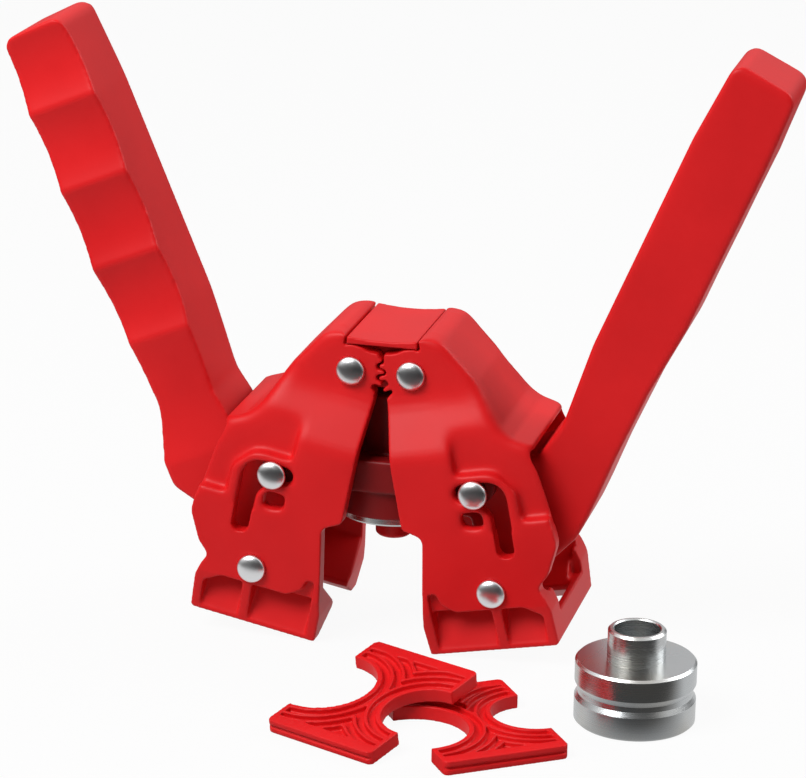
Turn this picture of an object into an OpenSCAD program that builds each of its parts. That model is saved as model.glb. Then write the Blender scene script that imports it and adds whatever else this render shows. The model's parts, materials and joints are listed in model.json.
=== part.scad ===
// Two-lever bottle capper with a spare bell and two neck plates, standing with its jaws open.
// Millimetres, +Z up. The capper faces -Y. The jaws are drawn closed and swung open about their hinges.

/* [Jaws] */
// Angle of each jaw from closed, as it stands
jaw_open = 11; // [6:0.5:12]
// Hinge axis from the middle plane
hinge_x = 11; // [10:0.5:12]
// Hinge axis above the soles
hinge_rise = 102.5; // [100:0.5:106]
// Half the jaw's depth at the hinge
hinge_half = 22; // [20:0.5:23]
// Half the jaw's depth at the cheeks
cheek_half = 33; // [30:0.5:34]
// Cheek wall at the hinge
wall = 6; // [5.5:0.1:6]
// Half the foot's depth at the sole
sole_half = 29.5; // [28.5:0.5:30.5]
// Inner end of the sole from the middle plane, closed
foot_in = 2.2; // [1.5:0.1:3]
// Outer end of the sole from the middle plane, closed
foot_out = 50; // [49:0.5:52]
// Lever pivot from the middle plane, closed
pivot_x = 29.5; // [28:0.5:31]
// Lever pivot above the sole
pivot_z = 22.9; // [22:0.1:24]

/* [Gear teeth] */
// Teeth that a full gear would have
gear_teeth = 16; // [16:1:16]
// Tooth tip beyond the pitch circle
gear_tip = 1.1; // [0.8:0.1:1.2]
// Half the tooth at the pitch circle
gear_half = 0.8; // [0.6:0.05:0.9]

/* [Levers] */
// Lean of each lever from upright, as it stands
lever_lean = 22.8; // [20:0.2:24]
// Turn of each lever on its jaw in a full stroke
lever_turn = 28; // [24:1:30]
// Pivot to tip
lever_length = 209; // [190:0.5:230]
// Half the lever's depth
lever_half = 17.5; // [15:0.5:17.5]
// Inner edge of the grip, outboard of the pivot
grip_in = -6.7; // [-7.5:0.1:-5]
// Outer edge of the grip, outboard of the pivot
grip_out = 20.5; // [18:0.5:23]
// Rounding of the grip's long edges
grip_round = 5; // [3:0.5:8]
// Length of one finger scoop
scoop_pitch = 30; // [24:1:30]
// Depth of one finger scoop
scoop_depth = 3; // [1:0.5:4]

/* [Carrier] */
// Guide pin from the middle plane
guide_x = 36.9; // [36:0.1:38]
// Guide pin below the hinge axis, as it stands
guide_drop = 38.3; // [38:0.1:39]
// Fall of the carrier in a full stroke
guide_fall = 10.5; // [9:0.5:11]
// Radius of the carrier's cup
cup_r = 23.3; // [23.2:0.1:23.5]

/* [Pins] */
// Hinge and pivot pin diameter
pin_d = 6; // [5:0.5:6]
// Guide pin diameter
guide_d = 5; // [4:0.5:5]
// Domed cap diameter
cap_d = 9.7; // [9:0.1:11]
// Domed cap height
cap_h = 3; // [2.5:0.1:4]

/* [Bells] */
// Bell body diameter
bell_d = 42; // [40:0.5:42]
// Body height of the bell in the carrier
bell_h = 20; // [18:0.5:20]
// Body height of the spare bell
spare_h = 22.3; // [20:0.1:24]
// Spigot diameter
spigot_d = 20.2; // [18:0.1:21]
// Spigot height
spigot_h = 11.2; // [9:0.1:11.6]
// Spigot bore
bore_d = 16; // [12:0.5:16]
// Throat of the bell in the carrier
throat_d = 26.8; // [25:0.1:28]
// Throat of the spare bell
spare_throat_d = 29.8; // [28:0.1:31]
// Diameter of the plunger that holds the crown cap
plunger_d = 13.4; // [12:0.1:14]
// Reach of the plunger below the bell
plunger_reach = 9.9; // [8:0.1:10]

/* [Neck plates] */
// Length of a plate along its rails
plate_l = 45; // [43:1:48]
// Width over the rails
plate_w = 61; // [58:1:64]
// Plate thickness
plate_t = 5; // [4:0.5:6]
// Radius of the wide neck arc
wide_r = 18; // [16:0.5:18.5]
// Radius of the narrow neck arc
narrow_r = 14.8; // [13:0.1:15.2]

/* [Hidden] */
$fn = 64;

RED = "#c92226";
STEEL = "#c9cacb";
ZINC = "#a9a7a8";
DARK = "#3a3a3d";
LEFT = -1;
RIGHT = 1;
FRONT = -1;
REAR = 1;

// Fits
run_gap = 0.05;     // radial play of a turning pin
cap_gap = 0.2;      // play between a cap and the face beside it
cap_seat = 1.4;     // length of pin inside a cap
slot_play = 0.4;    // play of a guide pin in the lever's slot

// Places at rest
foot_reach = hinge_x - foot_in;
hinge_z = hinge_rise * cos(jaw_open) + foot_reach * sin(jaw_open);
hinge_at = [hinge_x, hinge_z];
pivot_arm = [pivot_x - hinge_x, pivot_z - hinge_rise];
pivot_at = hinge_at + spin(pivot_arm, -jaw_open);
guide_at = [guide_x, hinge_z - guide_drop];

// Walls and heights of a jaw, above its sole
roof_wall = 3;
flap_wall = 1.8;
slope_top = 94;      // top of the slope between hinge and cheek
slope_low = 75;      // foot of that slope
cheek_low = 16.5;    // lower edge of the cheek's face
pocket_half = cheek_half - 8.8; // floor of the foot's pockets, at their top
ledge_top = 21;      // where the foot's ledges leave the cheeks
ledge_tip = 9;       // height of their tips
ledge_half = 10;     // half the gap between their tips
foot_web = 4.2;      // foot web at the sole, measured along the depth
end_wall = 3;
end_wall_z = 19;
end_notch_z = 10;    // bottom of the lever's notch in the end wall
end_notch_half = lever_half + 2;
barrel_r = 9.3;
roof_x = 15.7;       // inner edge of the roof
roof_z = hinge_rise + 12.2;
brow_top = 8.4;      // top of the cheek beside the teeth, above the hinge axis
brow_low = 5.9;      // where its end meets the teeth, above the hinge axis
brow_in = 8.75;      // its end, inboard of the hinge axis
brow_lean = 0.55;    // lean of its end
flap_x = 51.3;       // end of the roof over the lever
flap_z = 73.6;
meet_x = 0.6;        // inner edge of the cheek
saddle_rise = 12.5;  // the saddle's top above the hinge axis
cheek_wall = 6.2;
room_half = max(cup_r + 0.5, cheek_half - cheek_wall); // half the room between the cheeks
panel_half = room_half + 1.8; // the sunk panels' faces
slot_home = guide_in_jaw(0); // the guide pin's place in a jaw, as it stands
slot_rise = 3.44;    // the hooked slot above and below that place
slot_fall = 3.06;
slot_tail = 7.5;     // its inner end
leg_half = 3.2;      // half the width of its leg
leg_x = guide_x + 0.3;
leg_low = slot_home.y - 24.8;
far = 80;            // past everything in a jaw, sideways
sky = 130;           // past everything in a jaw, upward

// Lever root
hub_r = 8;
lobe_wall = 4;
root_z = 46;         // where the rounded grip starts
tip_round = 5;
waist_in = 2.6;      // narrowing of the grip above the root
heel_out = 23.4;     // heel below the finger scoops, outboard of the pivot
plain_heel = 18.4;   // the same edge on the lever without it
scoops = 4;
scoop_first = 89;    // lower end of the first full scoop
heel_scoop_low = 42; // lower end of the long scoop below it

// Bells and plunger
mouth_flare = 2.6;
mouth_h = 9;
seat_h = 15;
plunger_head = 2.5;  // height of the head that rests on the spigot
plunger_head_d = 18;
magnet_d = 8;
magnet_h = 3;

// Carrier
yoke_in = lever_half + 1;
yoke_out = room_half - 1.4;
eye_r = 6;
bell_low = guide_at.y - 20;
bell_top = bell_low + bell_h;
cup_low = bell_low + 3.2;
cup_shoulder = bell_top - 1;
cup_top = bell_top + 4.5;
cup_top_r = 19;
cup_side = 20.6;     // the cup is open beside the lever lobes, past this X
cup_side_half = 12;
boss_r = 13;
boss_top = bell_top + spigot_h + plunger_head + plunger_reach + 2.9;
nest_gap = 0.3;      // play round the bell in the cup
socket_gap = 0.05;   // play round the spigot in its socket

// Loose pieces, placed from the capper's middle
spare_at = [103, -65];
plate_a_at = [5.6, -120.8];
plate_a_turn = -23.7;
plate_b_at = [52.6, -93];
plate_b_turn = 35;
plate_round = 2;
plate_tilt = 9.6;    // plate a stands on its near rail and leans on plate b
wide_in = 1.5;       // centre of the wide arc inside the plate's end
narrow_in = 0.4;     // centre of the narrow arc inside the plate's end
rail_w = 5;
rail_groove = 1;
rim_w = 1.8;
floor_drop = 2;      // sunk floor between the ribs
rib_w = 1.2;
rib_steps = [4.6, 8.4, 12.2];

// The capper stands back so that the whole set is centred on the origin
plate_front = plate_b_at.y - (plate_l / 2 - plate_round) * sin(plate_b_turn)
    - (plate_w / 2 - plate_round) * cos(plate_b_turn) - plate_round;
capper_rear = cheek_half + cap_gap + cap_h;
capper_y = -(plate_front + capper_rear) / 2;

// Plane geometry
function spin(p, a) = [p.x * cos(a) + p.y * sin(a), p.y * cos(a) - p.x * sin(a)];
function unit(v) = v / norm(v);
function polar(r, a) = [r * cos(a), r * sin(a)];
function arc(c, r, a0, a1, n) = [for (i = [0:n]) c + polar(r, a0 + (a1 - a0) * i / n)];

// Corner b of a path a-b-c, rounded by its third value
function corner(a, b, c) =
    let (
        p = [b.x, b.y],
        u = unit([a.x, a.y] - p),
        v = unit([c.x, c.y] - p),
        half = acos(u * v) / 2,
        centre = p + unit(u + v) * b.z / sin(half),
        from = p + u * b.z / tan(half) - centre,
        to = p + v * b.z / tan(half) - centre,
        a0 = atan2(from.y, from.x),
        sweep = ((atan2(to.y, to.x) - a0 + 540) % 360) - 180
    )
    b.z == 0 ? [p] : arc(centre, b.z, a0, a0 + sweep, max(2, ceil(abs(sweep) / 11)));
function rounded(pts) =
    let (n = len(pts))
    [for (i = [0:n - 1]) each corner(pts[(i + n - 1) % n], pts[i], pts[(i + 1) % n])];

// Band of half width r along a path, with round ends
function ribbon(path, r) =
    let (
        n = len(path) - 1,
        first = unit(path[1] - path[0]),
        last = unit(path[n] - path[n - 1]),
        lead = atan2(first.y, first.x),
        tail = atan2(last.y, last.x),
        side = [for (i = [0:n]) let (d = unit(path[min(i + 1, n)] - path[max(i - 1, 0)])) r * [-d.y, d.x]]
    )
    concat(
        [for (i = [1:n - 1]) path[i] + side[i]],
        arc(path[n], r, tail + 90, tail - 90, 10),
        [for (i = [n - 1:-1:1]) path[i] - side[i]],
        arc(path[0], r, lead + 270, lead + 90, 10)
    );

// Guide pin seen from a jaw, and from a lever, at stage t of the stroke
function guide_in_jaw(t) =
    [hinge_x, hinge_rise] + spin([guide_x - hinge_x, -guide_drop - guide_fall * t], jaw_open * (1 - t));
function guide_in_lever(t) =
    spin(guide_in_jaw(t) - [pivot_x, pivot_z], -(lever_lean + jaw_open + lever_turn * t));
guide_path = [for (i = [0:8]) guide_in_lever(i / 8)];

// A flat shape in X and Z, made solid from y0 to y1
module along_y(y0, y1) {
    translate([0, y1, 0]) rotate([90, 0, 0]) linear_extrude(y1 - y0) children();
}

// A flat shape in Y and Z, made solid from x0 to x1
module along_x(x0, x1) {
    translate([x0, 0, 0]) rotate([90, 0, 90]) linear_extrude(x1 - x0) children();
}

module front_and_rear() {
    children();
    mirror([0, 1, 0]) children();
}

module on_side(side) {
    if (side == RIGHT) children();
    else mirror([1, 0, 0]) children();
}

// The capper stands back from the origin
module at_capper() {
    translate([0, capper_y, 0]) children();
}

// Swings a closed jaw open about its hinge
module swung_jaw() {
    translate([hinge_x, 0, hinge_z]) rotate([0, -jaw_open, 0])
        translate([-hinge_x, 0, -hinge_rise]) children();
}

// Outline of one gear tooth that points along angle a
module tooth(a) {
    step = 180 / PI / hinge_x;
    root = [barrel_r - 0.5, (gear_half + 0.35) * step];
    pitch = [hinge_x, gear_half * step];
    tip = [hinge_x + gear_tip, (gear_half - 0.35) * step];
    left = [for (p = [root, pitch, tip]) polar(p[0], a + p[1])];
    right = [for (p = [tip, pitch, root]) polar(p[0], a - p[1])];
    polygon(concat(left, right));
}

// Hinge barrel with its teeth towards the other jaw, numbered downward
module gear_sector(teeth) {
    circle(barrel_r);
    for (k = [teeth[0]:teeth[1]]) tooth(180 + k * 360 / gear_teeth);
}

// Jaw seen from the front: foot, cheek, flap and roof
module jaw_outline(teeth) {
    polygon(rounded([
        [foot_in, 0, 0.5], [foot_out, 0, 1.5], [foot_out, 14, 3], [48.5, 19, 1], [46.5, 23, 2.5],
        [51, 27.5, 5], [56, 38, 7], [54.8, 52, 8], [flap_x, flap_z, 0.6], [44.5, 77, 4], [40.8, 81, 5],
        [34, 97, 12], [23.5, roof_z - 1, 6], [18.5, roof_z + 1, 4], [roof_x, roof_z, 0.8],
        [roof_x, hinge_rise + brow_top, 0], [hinge_x - brow_in, hinge_rise + brow_top, 1],
        [hinge_x - brow_in - brow_lean, hinge_rise + brow_low, 0],
        [hinge_x, hinge_rise, 0], [4.5, hinge_rise - 4.5, 0],
        [meet_x, hinge_rise - 7.5, 1], [meet_x, 49, 2.5], [7.5, 45, 3], [3.2, 20, 12], [1.8, 11, 4]
    ]));
    translate([hinge_x, hinge_rise]) gear_sector(teeth);
}

// Room inside a jaw seen from the front, open inboard and where the lever comes out
module jaw_room() {
    polygon([
        [-4, -1], [foot_out - end_wall, -1], [foot_out - end_wall, end_wall_z], [far, end_wall_z],
        [far, flap_z - flap_wall], [flap_x - 1.4, flap_z - flap_wall], [43.4, 73.8], [38.6, 79], [31.8, 95.2],
        [22, roof_z - roof_wall - 1], [18, roof_z - roof_wall + 0.8], [roof_x, roof_z - roof_wall],
        [roof_x, sky], [-4, sky]
    ]);
}

// A jaw's depth seen from the side, from half depths at hinge, cheek and sole
module jaw_depth(hinge, cheek, sole) {
    half = rounded([
        [0, sky, 0], [hinge, sky, 0], [hinge, slope_top, 18], [cheek, slope_low, 12],
        [cheek, cheek_low, 1], [sole, 0, 0], [0, 0, 0]
    ]);
    polygon(half);
    mirror([1, 0]) polygon(half);
}

// Room between the foot's two ledges seen from the side, under the cheeks' room
module foot_room() {
    half = [
        [0, -1], [sole_half - foot_web, -1], [ledge_half, ledge_tip - 2], [ledge_half, ledge_tip],
        [room_half, ledge_top], [room_half, ledge_top + 1], [0, ledge_top + 1]
    ];
    polygon(half);
    mirror([1, 0]) polygon(half);
}

module jaw_inside() {
    intersection() {
        along_y(-far, far) jaw_room();
        union() {
            intersection() {
                along_x(-far, far) jaw_depth(hinge_half - wall, room_half, sole_half - wall);
                translate([-far, -far, ledge_top]) cube([2 * far, 2 * far, sky]);
            }
            along_x(-far, far) foot_room();
        }
    }
    translate([foot_out - end_wall - 1, -end_notch_half, end_notch_z])
        cube([far, 2 * end_notch_half, end_wall_z]);
}

// Hooked slot of the guide pin
module guide_slot() {
    top = slot_home.y + slot_rise;
    low = slot_home.y - slot_fall;
    polygon(rounded([
        [slot_home.x - slot_tail, low, 3], [slot_home.x - slot_tail, top, 3], [leg_x + leg_half, top, 6.5],
        [leg_x + leg_half, leg_low, 3], [leg_x - leg_half, leg_low, 3], [leg_x - leg_half, low - 5.9, 1],
        [slot_home.x - 0.5, low, 1]
    ]));
}

// Small window under the slot's hook
module cheek_window() {
    translate(slot_home) polygon(rounded([[-6.1, -12.6, 1], [1.5, -13.2, 1], [1.5, -7.2, 1], [-6.1, -7, 1]]));
}

// Upright sunk panel from the slope down to the slot's rim
module sunk_panel() {
    inner = slot_home.x - 5.9;
    outer = leg_x + 7.4;
    top = slot_home.y + 7;
    low = slot_home.y - 11.5;
    front_and_rear() along_y(panel_half, far) polygon(rounded([
        [inner, slope_top, 0], [inner, top, 0.5], [leg_x, top, 7], [outer, slot_home.y - 1, 5],
        [outer, low, 0.5], [far, low, 0], [far, slope_top, 0]
    ]));
}

// Two pockets in the foot's face, deep at the top and shallow at the sole
module foot_pockets() {
    intersection() {
        along_y(-far, far) {
            polygon(rounded([
                [5.8, 1.5, 0.5], [5.8, 24, 1.4], [8.8, 24, 1.4], [10, 20, 4], [15, cheek_low, 5],
                [28.2, cheek_low, 0], [28.2, 1.5, 0.5]
            ]));
            polygon(rounded([
                [31.9, 1.5, 0.5], [31.9, cheek_low, 0], [40, cheek_low, 3], [46.5, 12.5, 2], [46.5, 1.5, 0.5]
            ]));
        }
        along_x(0, far) polygon([
            [-far, 30], [-far, 1.5], [-sole_half, 1.5], [-pocket_half, cheek_low],
            [-cheek_half + 3, cheek_low], [-cheek_half + 3, 30]
        ]);
    }
}

// Bosses inside the cheeks that keep the lever central
module pivot_bosses() {
    front_and_rear()
        translate([pivot_x, cheek_half - 1, pivot_z]) rotate([90, 0, 0])
            cylinder(r = 5.5, h = cheek_half - 1 - lever_half - 0.4);
}

module through_y(at, d) {
    translate([at.x, far, at.y]) rotate([90, 0, 0]) cylinder(d = d, h = 2 * far);
}

module jaw(teeth) {
    difference() {
        union() {
            difference() {
                intersection() {
                    along_y(-far, far) jaw_outline(teeth);
                    along_x(-far, far) jaw_depth(hinge_half, cheek_half, sole_half);
                }
                jaw_inside();
                sunk_panel();
                front_and_rear() foot_pockets();
            }
            pivot_bosses();
        }
        along_y(-far, far) guide_slot();
        along_y(-far, far) cheek_window();
        through_y([hinge_x, hinge_rise], pin_d + 2 * run_gap);
        through_y([pivot_x, pivot_z], pin_d);
    }
}

// Lever seen from the front, pivot at the origin and upright
module lever_outline(heel) {
    circle(hub_r);
    polygon(ribbon(guide_path, guide_d / 2 + slot_play + lobe_wall));
    polygon(rounded([
        [-hub_r + 1, -1, 0], [6, -5, 0], [17.9, 26.4, 3], [heel, 34, 5], [heel, 44, 7], [18, 62, 20],
        [18.3, 88, 30], [grip_out, 115, 30], [grip_out, 180, 40], [19.4, lever_length - 2, tip_round],
        [-4.7, lever_length, tip_round], [grip_in, 178, 40], [grip_in, 95, 40], [grip_in + waist_in, 63, 16],
        [grip_in - 0.6, 48, 6], [-15, 40, 4],
        guide_rim(0), guide_rim(1)
    ]));
}

// Middle of the lobe at either end of the stroke, as an outline corner
function guide_rim(t) = let (p = guide_in_lever(t)) [p.x, p.y, 0];

// Section of the grip across its length
module grip_section() {
    polygon(rounded([
        [grip_in - 3, -lever_half, grip_round], [grip_out + 3, -lever_half, grip_round],
        [grip_out + 3, lever_half, grip_round], [grip_in - 3, lever_half, grip_round]
    ]));
}

// Side view of the grip, with its round tip
module grip_side() {
    polygon(rounded([
        [-lever_half, root_z, 0], [lever_half, root_z, 0],
        [lever_half, lever_length + 1, tip_round], [-lever_half, lever_length + 1, tip_round]
    ]));
}

// One finger scoop on the front face, from length z0 to z1
module scoop(z0, z1) {
    chord = (z1 - z0) / 2;
    r = (chord * chord + scoop_depth * scoop_depth) / (2 * scoop_depth);
    translate([-far, scoop_depth - lever_half - r, (z0 + z1) / 2])
        rotate([0, 90, 0]) cylinder(r = r, h = 2 * far, $fn = 180);
}

module finger_scoops() {
    scoop(heel_scoop_low, scoop_first);
    for (i = [0:scoops - 1]) scoop(scoop_first + i * scoop_pitch, scoop_first + (i + 1) * scoop_pitch);
}

// Lever with its scoops to the front or to the rear
module lever(scoop_side, heel) {
    difference() {
        union() {
            intersection() {
                along_y(-lever_half, lever_half) lever_outline(heel);
                along_x(-far, far) grip_side();
                translate([0, 0, root_z]) linear_extrude(lever_length) grip_section();
            }
            intersection() {
                along_y(-lever_half, lever_half) lever_outline(heel);
                translate([-far, -far, -far]) cube([2 * far, 2 * far, far + root_z]);
            }
        }
        if (scoop_side == FRONT) finger_scoops();
        else mirror([0, 1, 0]) finger_scoops();
        through_y([0, 0], pin_d + 2 * run_gap);
        along_y(-far, far) polygon(ribbon(guide_path, guide_d / 2 + slot_play));
    }
}

// A lever in its place on one side of the capper
module standing_lever(side) {
    color(RED) at_capper() on_side(side)
        translate([pivot_at.x, 0, pivot_at.y]) rotate([0, lever_lean, 0]) children();
}

module left_lever() {
    standing_lever(LEFT) lever(FRONT, heel_out);
}

module right_lever() {
    standing_lever(RIGHT) lever(REAR, plain_heel);
}

// Saddle over the hinge, with a web for the pins inside each cheek
module hinge_bridge() {
    web_out = hinge_half - wall - 0.5;
    web_in = web_out - 5.4;
    web_r = 7.5;
    saddle_x = 12.8;
    saddle_low = hinge_z + barrel_r + 0.4;
    saddle_top = hinge_z + saddle_rise;
    sag = 1;
    sag_r = (saddle_x * saddle_x + sag * sag) / (2 * sag);
    color(RED) at_capper() difference() {
        union() {
            front_and_rear() along_y(web_in, web_out) {
                for (side = [LEFT, RIGHT]) translate([side * hinge_x, hinge_z]) circle(web_r);
                translate([-hinge_x, hinge_z - web_r])
                    square([2 * hinge_x, saddle_low - hinge_z + web_r + 0.5]);
            }
            translate([-saddle_x, -hinge_half, saddle_low])
                cube([2 * saddle_x, 2 * hinge_half, saddle_top - saddle_low]);
        }
        translate([0, far, saddle_top - sag + sag_r]) rotate([90, 0, 0])
            cylinder(r = sag_r, h = 2 * far, $fn = 180);
        for (side = [LEFT, RIGHT]) through_y([side * hinge_x, hinge_z], pin_d);
    }
}

module left_jaw() {
    color(RED) at_capper() mirror([1, 0, 0]) swung_jaw() jaw([-1.5, 2.5]);
}

module right_jaw() {
    color(RED) at_capper() swung_jaw() jaw([-2, 3]);
}

// One long plate of the carrier's yoke, with an eye at each guide pin
module yoke_outline() {
    for (side = [LEFT, RIGHT]) translate([side * guide_x, guide_at.y]) circle(eye_r);
    translate([-guide_x, guide_at.y - eye_r]) square([2 * guide_x, 2 * eye_r]);
}

// Cup with a sloped shoulder, open on both sides where the lever lobes pass
module carrier_cup() {
    difference() {
        rotate_extrude() polygon([
            [0, cup_low], [cup_r, cup_low], [cup_r, cup_shoulder], [cup_top_r, cup_top], [0, cup_top]
        ]);
        for (side = [LEFT, RIGHT]) translate([side * (cup_side + far / 2), 0, cup_top / 2])
            cube([far, 2 * cup_side_half, cup_top + 2], center = true);
    }
}

module bell_carrier() {
    color(RED) at_capper() difference() {
        union() {
            carrier_cup();
            translate([0, 0, bell_top + 1]) cylinder(r = boss_r, h = boss_top - bell_top - 1);
            front_and_rear() along_y(yoke_in, yoke_out) yoke_outline();
        }
        translate([0, 0, cup_low - 1])
            cylinder(r = bell_d / 2 + nest_gap, h = bell_top + nest_gap - cup_low + 1);
        translate([0, 0, bell_top - 1])
            cylinder(r = spigot_d / 2 + socket_gap, h = spigot_h + plunger_head + plunger_reach + 1.5);
        for (side = [LEFT, RIGHT]) through_y([side * guide_x, guide_at.y], guide_d);
    }
}

// A plain pin through the capper, ending inside its caps
module pin(at, side, d, face) {
    reach = face + cap_gap + cap_seat;
    color(STEEL) at_capper() translate([side * at.x, reach, at.y]) rotate([90, 0, 0])
        cylinder(d = d, h = 2 * reach);
}

// A domed cap pressed on one end of a pin
module cap(at, side, end, d, face) {
    rim = 0.9;
    dome = cap_h - rim;
    r = (cap_d * cap_d / 4 + dome * dome) / (2 * dome);
    color(STEEL) at_capper() translate([side * at.x, end * (face + cap_gap), at.y]) rotate([-90 * end, 0, 0])
        difference() {
            intersection() {
                cylinder(d = cap_d, h = cap_h);
                translate([0, 0, cap_h - r]) sphere(r);
            }
            translate([0, 0, -1]) cylinder(d = d, h = cap_seat + 1);
        }
}

// A crimping bell, mouth down on the plane z = 0, with one wide groove round it
module bell(h, throat) {
    r = bell_d / 2;
    edge = 0.8;
    groove = [0.385 * h, 0.465 * h, 0.55 * h, 0.645 * h];
    sink = 1;
    top = h + spigot_h;
    color(ZINC) rotate_extrude($fn = 96) polygon([
        [throat / 2 + mouth_flare, 0], [r - edge, 0], [r, edge], [r, groove[0]], [r - sink, groove[1]],
        [r - sink, groove[2]], [r, groove[3]], [r, h - edge], [r - edge, h],
        [spigot_d / 2, h], [spigot_d / 2, top - edge], [spigot_d / 2 - edge, top],
        [bore_d / 2 + edge / 2, top], [bore_d / 2, top - edge / 2],
        [bore_d / 2, seat_h], [throat / 2, seat_h], [throat / 2, mouth_h]
    ]);
}

module capping_bell() {
    at_capper() translate([0, 0, bell_low]) bell(bell_h, throat_d);
}

// Sprung plunger that holds the crown cap below the bell, its head on the spigot
module cap_plunger() {
    low = bell_low - plunger_reach;
    seat = bell_top + spigot_h;
    edge = 1;
    color(RED) at_capper() difference() {
        union() {
            translate([0, 0, low]) cylinder(d1 = plunger_d - 2 * edge, d2 = plunger_d, h = edge);
            translate([0, 0, low + edge]) cylinder(d = plunger_d, h = seat - low);
            translate([0, 0, seat]) cylinder(d = plunger_head_d, h = plunger_head);
        }
        translate([0, 0, low - 1]) cylinder(d = magnet_d, h = magnet_h + 1);
    }
}

module bell_magnet() {
    color(DARK) at_capper() translate([0, 0, bell_low - plunger_reach]) cylinder(d = magnet_d, h = magnet_h);
}

module spare_bell() {
    at_capper() translate([spare_at.x, spare_at.y, 0]) bell(spare_h, spare_throat_d);
}

// Neck plate seen from above, rails along X, wide arc at the left, its arcs grown by t
module plate_arcs(t) {
    translate([wide_in - plate_l / 2, 0]) circle(wide_r + t);
    translate([plate_l / 2 - narrow_in, 0]) circle(narrow_r + t);
}

module plate_ribs() {
    for (t = rib_steps) difference() {
        plate_arcs(t + rib_w);
        plate_arcs(t);
    }
}

// Sunk floor on the plate's top, inside its rims
module plate_floor() {
    difference() {
        square([plate_l - 2 * rim_w, plate_w - 2 * rail_w], center = true);
        plate_arcs(rim_w);
        plate_ribs();
    }
}

// A neck plate lying flat on z = 0
module neck_plate() {
    x = plate_l / 2;
    y = plate_w / 2;
    difference() {
        linear_extrude(plate_t) difference() {
            polygon(rounded([
                [-x, -y, plate_round], [x, -y, plate_round], [x, y, plate_round], [-x, y, plate_round]
            ]));
            plate_arcs(0);
        }
        translate([0, 0, plate_t - floor_drop]) linear_extrude(plate_t) plate_floor();
        front_and_rear() translate([-x - 1, y - rail_groove, plate_t / 2 - rail_groove / 2])
            cube([plate_l + 2, plate_w, rail_groove]);
    }
}

module neck_plate_a() {
    color(RED) at_capper() translate([plate_a_at.x, plate_a_at.y, 0]) rotate([0, 0, plate_a_turn])
        rotate([plate_tilt, 0, 0]) translate([0, plate_w / 2, 0]) neck_plate();
}

module neck_plate_b() {
    color(RED) at_capper() translate([plate_b_at.x, plate_b_at.y, 0])
        rotate([0, 0, plate_b_turn]) neck_plate();
}

hinge_bridge();
left_jaw();
right_jaw();
left_lever();
right_lever();
bell_carrier();
pin(hinge_at, LEFT, pin_d, hinge_half);  // left_hinge_pin
cap(hinge_at, LEFT, FRONT, pin_d, hinge_half);  // left_hinge_front_cap
cap(hinge_at, LEFT, REAR, pin_d, hinge_half);  // left_hinge_rear_cap
pin(hinge_at, RIGHT, pin_d, hinge_half);  // right_hinge_pin
cap(hinge_at, RIGHT, FRONT, pin_d, hinge_half);  // right_hinge_front_cap
cap(hinge_at, RIGHT, REAR, pin_d, hinge_half);  // right_hinge_rear_cap
pin(pivot_at, LEFT, pin_d, cheek_half);  // left_lever_pin
cap(pivot_at, LEFT, FRONT, pin_d, cheek_half);  // left_lever_front_cap
cap(pivot_at, LEFT, REAR, pin_d, cheek_half);  // left_lever_rear_cap
pin(pivot_at, RIGHT, pin_d, cheek_half);  // right_lever_pin
cap(pivot_at, RIGHT, FRONT, pin_d, cheek_half);  // right_lever_front_cap
cap(pivot_at, RIGHT, REAR, pin_d, cheek_half);  // right_lever_rear_cap
pin(guide_at, LEFT, guide_d, cheek_half);  // left_guide_pin
cap(guide_at, LEFT, FRONT, guide_d, cheek_half);  // left_guide_front_cap
cap(guide_at, LEFT, REAR, guide_d, cheek_half);  // left_guide_rear_cap
pin(guide_at, RIGHT, guide_d, cheek_half);  // right_guide_pin
cap(guide_at, RIGHT, FRONT, guide_d, cheek_half);  // right_guide_front_cap
cap(guide_at, RIGHT, REAR, guide_d, cheek_half);  // right_guide_rear_cap
capping_bell();
cap_plunger();
bell_magnet();
spare_bell();
neck_plate_a();
neck_plate_b();
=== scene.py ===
import json
import math

import bmesh
import bpy
import numpy as np
from mathutils import Matrix, Vector


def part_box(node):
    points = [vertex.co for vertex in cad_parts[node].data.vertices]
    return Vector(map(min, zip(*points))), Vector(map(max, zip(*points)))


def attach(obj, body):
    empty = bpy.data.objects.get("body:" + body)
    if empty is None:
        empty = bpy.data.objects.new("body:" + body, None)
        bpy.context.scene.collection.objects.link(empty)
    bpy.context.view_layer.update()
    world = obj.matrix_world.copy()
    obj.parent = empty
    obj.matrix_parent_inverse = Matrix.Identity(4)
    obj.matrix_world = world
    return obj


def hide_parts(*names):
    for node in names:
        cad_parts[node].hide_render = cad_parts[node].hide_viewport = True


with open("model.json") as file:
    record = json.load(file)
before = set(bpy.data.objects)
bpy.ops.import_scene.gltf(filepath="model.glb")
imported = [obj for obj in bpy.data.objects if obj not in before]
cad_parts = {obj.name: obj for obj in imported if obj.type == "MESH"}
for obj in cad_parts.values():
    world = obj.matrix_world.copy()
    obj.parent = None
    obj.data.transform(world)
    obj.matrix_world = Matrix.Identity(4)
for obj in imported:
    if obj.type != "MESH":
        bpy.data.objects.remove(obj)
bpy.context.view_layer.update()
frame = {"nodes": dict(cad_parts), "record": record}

MM = 0.001
scene = bpy.context.scene
behaviour = frame["record"]["behaviour"]
body_of = {node: body for body, nodes in behaviour["bodies"].items() for node in nodes}
joint_of = {joint["name"]: joint for joint in behaviour["joints"]}

# The capper's middle, on the floor
low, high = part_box("hinge_bridge")
capper = Vector(((low.x + high.x) / 2, (low.y + high.y) / 2, 0))

# Camera, fitted to the photograph: its lens, the point it looks at, in millimetres from the capper's
# middle, and where it stands from there, in degrees and millimetres
PHOTO_WIDTH = 806
FOCAL_PX = 3547.55
SENSOR = 36.0
AIM = (3.37, -3.0, 90.73)
AZIMUTH = 14.10
ELEVATION = 18.01
ROLL = 0.88
DISTANCE = 1277.43

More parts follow.
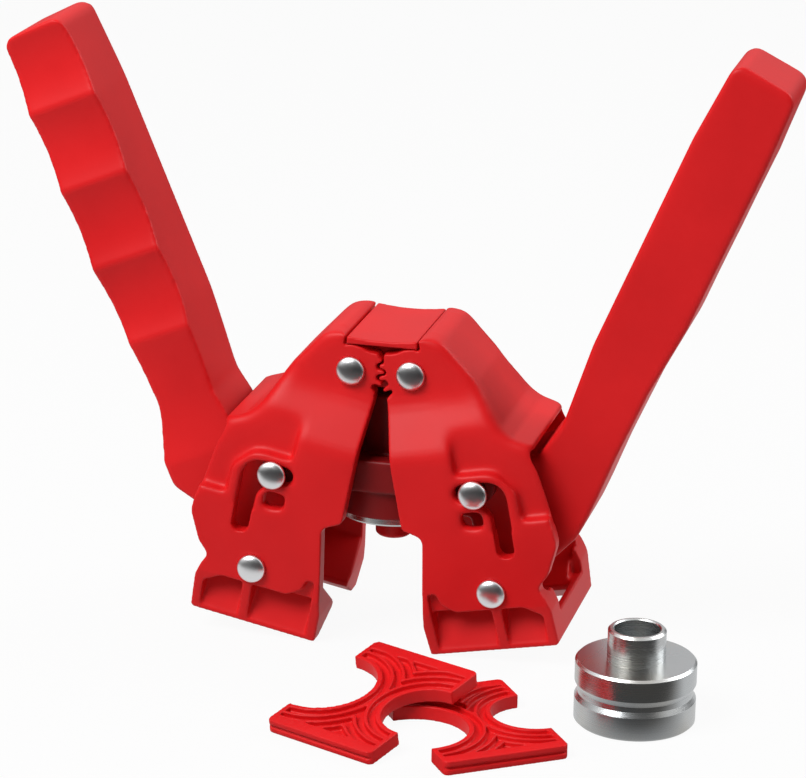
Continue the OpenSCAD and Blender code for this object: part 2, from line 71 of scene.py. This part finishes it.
# Colours, as linear values
RED = (0.70, 0.008, 0.010, 1)
RED_DEEP = (0.62, 0.006, 0.008, 1)
# The bell carrier's two reds, far darker than the other mouldings': painted shade for the carrier, which is
# seen deep in the shadowed gap between the jaws
PAINTED_SHADE_RED = (0.24, 0.005, 0.006, 1)
PAINTED_SHADE_RED_DEEP = (0.19, 0.004, 0.005, 1)
STEEL = (0.84, 0.84, 0.85, 1)
ZINC = (0.57, 0.59, 0.60, 1)
ZINC_WARM = (0.60, 0.59, 0.56, 1)
MAGNET = (0.05, 0.05, 0.055, 1)
FLOOR_GREY = (0.6, 0.6, 0.6, 1)
WHITE = (1, 1, 1, 1)

# Moulded pieces: voxel in millimetres, rounds of softening, share of faces kept
MOULDINGS = {
    "left_jaw": (0.5, 7, 0.25),
    "right_jaw": (0.5, 7, 0.25),
    "left_lever": (0.6, 18, 0.4),
    "right_lever": (0.6, 18, 0.4),
    "hinge_bridge": (0.4, 5, 0.3),
    "bell_carrier": (0.5, 5, 0.3),
    "cap_plunger": (0.35, 5, 0.3),
    "neck_plate_a": (0.35, 4, 0.3),
    "neck_plate_b": (0.35, 4, 0.3),
}
WELD = 0.01           # millimetres within which a mesh's corners are joined
SOFT_FACTOR = 0.5     # share of the way to its neighbours that a point moves in a round
WEIGHT_STEPS = 8      # grades of weight in a vertex group

# A closed jaw in millimetres from its hinge axis, outboard and up: its roof from the saddle to the flap's
# end, its half depth above and below the slope, and its sunk panel
ROOF = [(4.7, 12.2), (12.5, 11.2), (23.0, -5.5), (29.8, -21.5), (33.5, -25.5), (40.3, -28.7)]
HINGE_HALF = 22.0
SLOPE_TOP = -8.5
CHEEK_HALF = 33.0
SLOPE_LOW = -27.5
PANEL_ACROSS = (9.0, 50.0)
PANEL_UP = (-58.0, -12.0)
PANEL_TOP = -20.0     # where the sunk panel runs out of the slope

# Softening of the jaws: reach in millimetres, and rounds
SHOULDER = 9.0        # between roof and cheeks
SHOULDER_ROUNDS = 240
CREASE = 6.0          # above and below the slope
CREASE_ROUNDS = 120
PANEL_ROUNDS = 90     # all over the sunk panel
FADE = 4.0            # over which a reach dies out

# Heads of the pins
HEAD_FLARE = 1.08     # width of the rim, as a share of the cap's
HEAD_RIM = 0.3        # height of the rim, as a share of the head's
HEAD_ROLL = 0.35      # millimetres that the rim is rolled in at its foot
HEAD_SIDES = 48
DOME_STEP = 6         # degrees from one ring of the dome to the next

# Floor, in millimetres, and the share of plain white that the camera sees in it beside the shadow
FLOOR_HALF = 3000.0
FLOOR_DROP = 0.1
FLOOR_WHITE = 0.94

# What reflections show of the floor: its level near the capper, and from where to where it fades in front
# and all round, in millimetres from the capper
FLOOR_GLOSS = 0.76
FRONT_END = (95.0, 125.0)
ROUND_END = (320.0, 700.0)

# What reflections show of the room: its levels in front and at the horizon, the direction of the front in
# degrees right and up, cosines from it between which the room turns dark, and the height where it is white
DARK = 0.09
DIM = 0.11
FRONT = (14.0, 12.0)
FRONT_SPAN = (0.45, 0.8)
ROOM_RISE = 0.6

# Soft light of the room, from behind the capper and from the front, and cosines between which it changes
BACK_LIGHT = 0.9
AMBIENT = 0.15
BACK_SPAN = (-0.9, 0.1)

# Square lamps: degrees right of the capper's front, degrees up, and level; their distance and size in
# metres, and the height they look at in millimetres
LAMPS = {"key": (-34, 48, 1.02), "right": (118, 36, 0.43)}
LAMP_DISTANCE = 1.5
LAMP_SIZE = 0.8
LAMP_AIM = 90.0


def toward(azimuth, elevation):
    """Direction from the capper at degrees right of its front and degrees up."""
    a, e = math.radians(azimuth), math.radians(elevation)
    return Vector((math.sin(a) * math.cos(e), -math.cos(a) * math.cos(e), math.sin(e)))


# Nodes of materials and world

def new_material(name):
    """A node material, with its tree and its shader."""
    material = bpy.data.materials.new(name)
    material.use_nodes = True
    tree = material.node_tree
    return material, tree, tree.nodes["Principled BSDF"]


def add(tree, kind, **settings):
    """A node, with named inputs or attributes set on it."""
    node = tree.nodes.new(kind)
    for key, value in settings.items():
        if key in node.inputs:
            node.inputs[key].default_value = value
        else:
            setattr(node, key, value)
    return node


def spread(tree, value, low, high, start=0.0, end=1.0):
    """A value that runs from start to end, brought into a range."""
    remap = add(tree, "ShaderNodeMapRange")
    for name, bound in zip(("From Min", "From Max", "To Min", "To Max"), (start, end, low, high)):
        remap.inputs[name].default_value = bound
    tree.links.new(value, remap.inputs["Value"])
    return remap.outputs["Result"]


def product(tree, first, second):
    """Two values multiplied."""
    times = add(tree, "ShaderNodeMath", operation="MULTIPLY")
    tree.links.new(first, times.inputs[0])
    tree.links.new(second, times.inputs[1])
    return times.outputs["Value"]


def measured(tree, place, operation, other):
    """A place against another vector: how far it lies along it, or how far from it."""
    measure = add(tree, "ShaderNodeVectorMath", operation=operation)
    measure.inputs[1].default_value = other
    tree.links.new(place, measure.inputs[0])
    return measure.outputs["Value"]


def noise(tree, stretch=(1.0, 1.0, 1.0), **settings):
    """A noise texture in the object's own space, stretched along its axes."""
    place = add(tree, "ShaderNodeTexCoord")
    mapping = add(tree, "ShaderNodeMapping", Scale=stretch)
    texture = add(tree, "ShaderNodeTexNoise", **settings)
    tree.links.new(place.outputs["Object"], mapping.inputs["Vector"])
    tree.links.new(mapping.outputs["Vector"], texture.inputs["Vector"])
    return texture.outputs["Fac"]


def blended(tree, value, stops):
    """A value turned into a colour by a ramp of two stops."""
    ramp = add(tree, "ShaderNodeValToRGB")
    for element, (position, colour) in zip(ramp.color_ramp.elements, stops):
        element.position = position
        element.color = colour
    tree.links.new(value, ramp.inputs["Fac"])
    return ramp.outputs["Color"]


def relief(tree, shader, height, strength, distance):
    """Give a shader fine relief, with its distance in millimetres."""
    bump = add(tree, "ShaderNodeBump", Strength=strength, Distance=distance * MM)
    tree.links.new(height, bump.inputs["Height"])
    tree.links.new(bump.outputs["Normal"], shader.inputs["Normal"])


def by_ray(tree, lit, reflected, seen, share=1.0):
    """One shader for reflections, one for the camera, up to a share, and the lit one for other rays."""
    rays = add(tree, "ShaderNodeLightPath")
    glossy = add(tree, "ShaderNodeMixShader")
    camera = add(tree, "ShaderNodeMixShader")
    tree.links.new(rays.outputs["Is Glossy Ray"], glossy.inputs["Fac"])
    tree.links.new(lit, glossy.inputs[1])
    tree.links.new(reflected, glossy.inputs[2])
    tree.links.new(spread(tree, rays.outputs["Is Camera Ray"], 0.0, share), camera.inputs["Fac"])
    tree.links.new(glossy.outputs["Shader"], camera.inputs[1])
    tree.links.new(seen, camera.inputs[2])
    return camera.outputs["Shader"]


# Materials

def plastic(name, deep, light):
    """Satin moulded plastic: faint flow marks in the colour and a fine grain."""
    material, tree, shader = new_material(name)
    flow = noise(tree, Scale=22.0, Detail=3.0, Roughness=0.5)
    grain = noise(tree, Scale=1400.0, Detail=2.0, Roughness=0.6)
    tree.links.new(blended(tree, flow, ((0.3, deep), (0.62, light))), shader.inputs["Base Color"])
    tree.links.new(spread(tree, flow, low=0.40, high=0.52), shader.inputs["Roughness"])
    relief(tree, shader, grain, strength=0.06, distance=0.2)
    shader.inputs["Specular IOR Level"].default_value = 0.24
    return material


def polished_steel():
    """Bright pressed steel with faint handling marks."""
    material, tree, shader = new_material("steel")
    marks = noise(tree, Scale=420.0, Detail=4.0, Roughness=0.65)
    tree.links.new(spread(tree, marks, low=0.24, high=0.36), shader.inputs["Roughness"])
    shader.inputs["Base Color"].default_value = STEEL
    shader.inputs["Metallic"].default_value = 1.0
    return material


def turned_zinc():
    """Turned and plated steel: fine rings along the height, cool with warm patches."""
    material, tree, shader = new_material("zinc")
    rings = noise(tree, stretch=(3.0, 3.0, 2600.0), Scale=1.0, Detail=3.0, Roughness=0.7)
    patch = noise(tree, Scale=45.0, Detail=2.0, Roughness=0.5)
    tree.links.new(blended(tree, patch, ((0.42, ZINC), (0.68, ZINC_WARM))), shader.inputs["Base Color"])
    tree.links.new(spread(tree, rings, low=0.18, high=0.36), shader.inputs["Roughness"])
    relief(tree, shader, rings, strength=0.08, distance=0.1)
    shader.inputs["Metallic"].default_value = 1.0
    return material


def sintered():
    """Dull dark magnet with a speckled face."""
    material, tree, shader = new_material("magnet")
    speck = noise(tree, Scale=900.0, Detail=2.0)
    tree.links.new(spread(tree, speck, low=0.5, high=0.8), shader.inputs["Roughness"])
    shader.inputs["Base Color"].default_value = MAGNET
    return material


# Pieces

def dress(obj, material):
    """Give an object one material."""
    obj.data.materials.clear()
    obj.data.materials.append(material)


def stand_for(piece, node, material):
    """Dress a piece, and let it stand for a CAD node on its body."""
    for face in piece.data.polygons:
        face.use_smooth = True
    dress(piece, material)
    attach(piece, body_of[node])
    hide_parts(node)


def welded_copy(node):
    """A copy of a CAD node's mesh with its split corners joined."""
    mesh = bpy.data.meshes.new(node + "_soft")
    work = bmesh.new()
    work.from_mesh(frame["nodes"][node].data)
    bmesh.ops.remove_doubles(work, verts=work.verts, dist=WELD * MM)
    work.to_mesh(mesh)
    work.free()
    return mesh


def settle(piece):
    """Apply a piece's modifiers to its mesh."""
    bpy.context.view_layer.update()
    shaped = bpy.data.meshes.new_from_object(piece.evaluated_get(bpy.context.evaluated_depsgraph_get()))
    piece.modifiers.clear()
    piece.data = shaped


def soften(piece, rounds, group=None):
    """Round a piece's edges, all of them or those of one vertex group."""
    smooth = piece.modifiers.new("soften", "SMOOTH")
    smooth.factor = SOFT_FACTOR
    smooth.iterations = rounds
    if group:
        smooth.vertex_group = group.name


def in_closed_jaw(piece, side):
    """A jaw's points in millimetres from its hinge axis, as if closed: outboard, up, out from mid-depth."""
    joint = joint_of[f"{side}_jaw_close"]
    opening = math.radians(joint["range_deg"][1])
    points = np.empty(3 * len(piece.data.vertices))
    piece.data.vertices.foreach_get("co", points)
    x, y, z = ((points.reshape(-1, 3) - joint["pos_m"]) / MM).T
    if side == "left":
        x = -x
    outboard = x * math.cos(opening) + z * math.sin(opening)
    up = z * math.cos(opening) - x * math.sin(opening)
    return outboard, up, abs(y)


def from_path(x, z, path):
    """Distance of points from a path of straight runs."""
    nearest = np.full(x.shape, np.inf)
    for (x0, z0), (x1, z1) in zip(path[:-1], path[1:]):
        run = np.array((x1 - x0, z1 - z0))
        share = np.clip(((x - x0) * run[0] + (z - z0) * run[1]) / (run @ run), 0, 1)
        nearest = np.minimum(nearest, np.hypot(x - x0 - share * run[0], z - z0 - share * run[1]))
    return nearest


def near(distance, reach):
    """1 for distances well within a reach, fading to 0 at its end."""
    return np.clip((reach - distance) / FADE, 0, 1)


def within(values, span):
    """Which values lie between two ends."""
    return (values > span[0]) & (values < span[1])


def group_of(piece, name, weight):
    """A vertex group with the weights given, in steps."""
    group = piece.vertex_groups.new(name=name)
    grade = np.round(weight * WEIGHT_STEPS).astype(int)
    for step in range(1, WEIGHT_STEPS + 1):
        group.add(np.flatnonzero(grade == step).tolist(), step / WEIGHT_STEPS, "REPLACE")
    return group


def soft_jaw_edges(piece, side):
    """Broad shoulders between roof and cheeks, soft bends at the slope, softer edges round the panels."""
    x, z, depth = in_closed_jaw(piece, side)
    face = np.interp(z, (SLOPE_LOW, SLOPE_TOP), (CHEEK_HALF, HINGE_HALF))
    near_face = near(face - depth, SHOULDER)
    past_saddle = near(ROOF[0][0] - x, 0)
    in_panel = within(x, PANEL_ACROSS) & within(z, PANEL_UP)
    low_bend = abs(z - np.where(in_panel, PANEL_TOP, SLOPE_LOW))
    near_roof = near(from_path(x, z, ROOF), SHOULDER)
    near_bend = near(np.minimum(low_bend, abs(z - SLOPE_TOP)), CREASE)
    soften(piece, SHOULDER_ROUNDS, group_of(piece, "shoulder", near_face * near_roof * past_saddle))
    soften(piece, CREASE_ROUNDS, group_of(piece, "bends", near_face * near_bend * past_saddle))
    soften(piece, PANEL_ROUNDS, group_of(piece, "panel", near_face * in_panel))


def moulded(node, material, voxel, rounds, keep):
    """A piece with the soft edges of a moulding, which stands for a CAD node."""
    piece = bpy.data.objects.new(node + "_moulded", welded_copy(node))
    scene.collection.objects.link(piece)
    skin = piece.modifiers.new("skin", "REMESH")
    skin.mode = "VOXEL"
    skin.voxel_size = voxel * MM
    settle(piece)
    if node.endswith("_jaw"):
        soft_jaw_edges(piece, node.removesuffix("_jaw"))
    soften(piece, rounds)
    thin = piece.modifiers.new("thin", "DECIMATE")
    thin.ratio = keep
    settle(piece)
    stand_for(piece, node, material)


def turned_cap(node, material):
    """A domed pin head with a rolled rim, spun about the pin's axis, which stands for a CAD node."""
    low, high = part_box(node)
    middle = (low + high) / 2
    radius = HEAD_FLARE * (high.x - low.x) / 2
    height = high.y - low.y
    rim = HEAD_RIM * height
    roll = HEAD_ROLL * MM
    dome = [math.radians(angle) for angle in range(DOME_STEP, 90 + DOME_STEP, DOME_STEP)]
    profile = [(radius - roll, 0), (radius, roll), (radius, rim)]
    profile += [(radius * math.cos(a), rim + (height - rim) * math.sin(a)) for a in dome]
    outward = -1 if node.endswith("front_cap") else 1
    seat = high.y if outward < 0 else low.y
    work = bmesh.new()
    points = [work.verts.new((middle.x + r, seat + outward * up, middle.z)) for r, up in profile]
    edges = [work.edges.new(pair) for pair in zip(points[:-1], points[1:])]
    bmesh.ops.spin(work, geom=points + edges, cent=(middle.x, seat, middle.z), axis=(0, 1, 0),
                   angle=2 * math.pi, steps=HEAD_SIDES, use_merge=True)
    bmesh.ops.remove_doubles(work, verts=work.verts, dist=WELD * MM)
    bmesh.ops.recalc_face_normals(work, faces=work.faces)
    mesh = bpy.data.meshes.new(node + "_turned")
    work.to_mesh(mesh)
    work.free()
    piece = bpy.data.objects.new(node + "_turned", mesh)
    scene.collection.objects.link(piece)
    stand_for(piece, node, material)


# Studio

def studio_floor():
    """A white floor with a faint shadow; in reflections it ends in a dimmer room, dark in front."""
    half = FLOOR_HALF * MM
    corners = [(-half, -half, 0), (half, -half, 0), (half, half, 0), (-half, half, 0)]
    mesh = bpy.data.meshes.new("floor")
    mesh.from_pydata(corners, [], [(0, 1, 2, 3)])
    floor = bpy.data.objects.new("floor", mesh)
    floor.location.z = -FLOOR_DROP * MM
    scene.collection.objects.link(floor)
    material, tree, shader = new_material("floor")
    shader.inputs["Base Color"].default_value = FLOOR_GREY
    shader.inputs["Roughness"].default_value = 1.0
    shader.inputs["Specular IOR Level"].default_value = 0.0
    white = add(tree, "ShaderNodeEmission", Color=WHITE, Strength=1.0)
    sweep = add(tree, "ShaderNodeEmission", Color=WHITE)
    place = add(tree, "ShaderNodeNewGeometry").outputs["Position"]
    front = toward(FRONT[0], 0)
    ahead = measured(tree, place, "DOT_PRODUCT", front)
    around = measured(tree, place, "DISTANCE", capper)
    in_front = spread(tree, ahead, 1.0, DARK, *(capper.dot(front) + end * MM for end in FRONT_END))
    far_off = spread(tree, around, FLOOR_GLOSS, DIM, *(end * MM for end in ROUND_END))
    tree.links.new(product(tree, in_front, far_off), sweep.inputs["Strength"])
    surface = by_ray(tree, shader.outputs["BSDF"], sweep.outputs["Emission"], white.outputs["Emission"],
                     FLOOR_WHITE)
    tree.links.new(surface, tree.nodes["Material Output"].inputs["Surface"])
    dress(floor, material)


def studio_world():
    """White for the camera, soft light mostly from behind, and in reflections a pale room, dark in front."""
    world = bpy.data.worlds.new("studio")
    scene.world = world
    world.use_nodes = True
    tree = world.node_tree
    ambient = tree.nodes["Background"]
    ambient.inputs["Color"].default_value = WHITE
    white = add(tree, "ShaderNodeBackground", Color=WHITE, Strength=1.0)
    room = add(tree, "ShaderNodeBackground", Color=WHITE)
    place = add(tree, "ShaderNodeTexCoord").outputs["Generated"]
    front = measured(tree, place, "DOT_PRODUCT", toward(*FRONT))
    tree.links.new(spread(tree, front, BACK_LIGHT, AMBIENT, *BACK_SPAN), ambient.inputs["Strength"])
    height = add(tree, "ShaderNodeSeparateXYZ")
    tree.links.new(place, height.inputs[0])
    in_front = spread(tree, front, 1.0, DARK, *FRONT_SPAN)
    above = spread(tree, height.outputs["Z"], DIM, 1.0, 0.0, ROOM_RISE)
    tree.links.new(product(tree, in_front, above), room.inputs["Strength"])
    surface = by_ray(tree, *(part.outputs["Background"] for part in (ambient, room, white)))
    tree.links.new(surface, tree.nodes["World Output"].inputs["Surface"])


def softbox(name, direction, level):
    """A square lamp that looks at the capper; at level 1 it lights a white face turned to it to white."""
    lamp = bpy.data.lights.new(name, "AREA")
    lamp.size = LAMP_SIZE
    lamp.energy = level * (math.pi * LAMP_DISTANCE) ** 2
    obj = bpy.data.objects.new(name, lamp)
    obj.location = capper + Vector((0, 0, LAMP_AIM * MM)) + direction * LAMP_DISTANCE
    obj.rotation_euler = direction.to_track_quat("Z", "Y").to_euler()
    scene.collection.objects.link(obj)


def photo_camera():
    """The camera at the photograph's place, with its roll."""
    away = -toward(AZIMUTH, ELEVATION)
    level = toward(AZIMUTH + 90, 0)
    upright = level.cross(away)
    roll = math.radians(ROLL)
    right = level * math.cos(roll) + upright * math.sin(roll)
    up = upright * math.cos(roll) - level * math.sin(roll)
    data = bpy.data.cameras.new("photo")
    data.sensor_fit = "HORIZONTAL"
    data.sensor_width = SENSOR
    data.lens = FOCAL_PX / PHOTO_WIDTH * SENSOR
    camera = bpy.data.objects.new("photo", data)
    place = capper + Vector(AIM) * MM - away * (DISTANCE * MM)
    turn = Matrix((right, up, -away)).transposed().to_4x4()
    camera.matrix_world = Matrix.Translation(place) @ turn
    scene.collection.objects.link(camera)
    scene.camera = camera


# The scene

red = plastic("red_plastic", RED_DEEP, RED)
# Red plastic darkened with painted shade, for the bell carrier
painted_shade_red = plastic("painted_shade_plastic", PAINTED_SHADE_RED_DEEP, PAINTED_SHADE_RED)
steel = polished_steel()
zinc = turned_zinc()
magnet = sintered()

for node, (voxel, rounds, keep) in MOULDINGS.items():
    # The bell carrier gets the red darkened with painted shade, the other mouldings the plain red
    moulded(node, painted_shade_red if node == "bell_carrier" else red, voxel, rounds, keep)

for node, obj in frame["nodes"].items():
    if node.endswith("_cap"):
        turned_cap(node, steel)
    elif node.endswith("_pin"):
        dress(obj, steel)
    elif node in ("capping_bell", "spare_bell"):
        dress(obj, zinc)
    elif node == "bell_magnet":
        dress(obj, magnet)

studio_floor()
studio_world()
for name, (azimuth, elevation, level) in LAMPS.items():
    softbox(name, toward(azimuth, elevation), level)
photo_camera()
scene.view_settings.view_transform = "Standard"
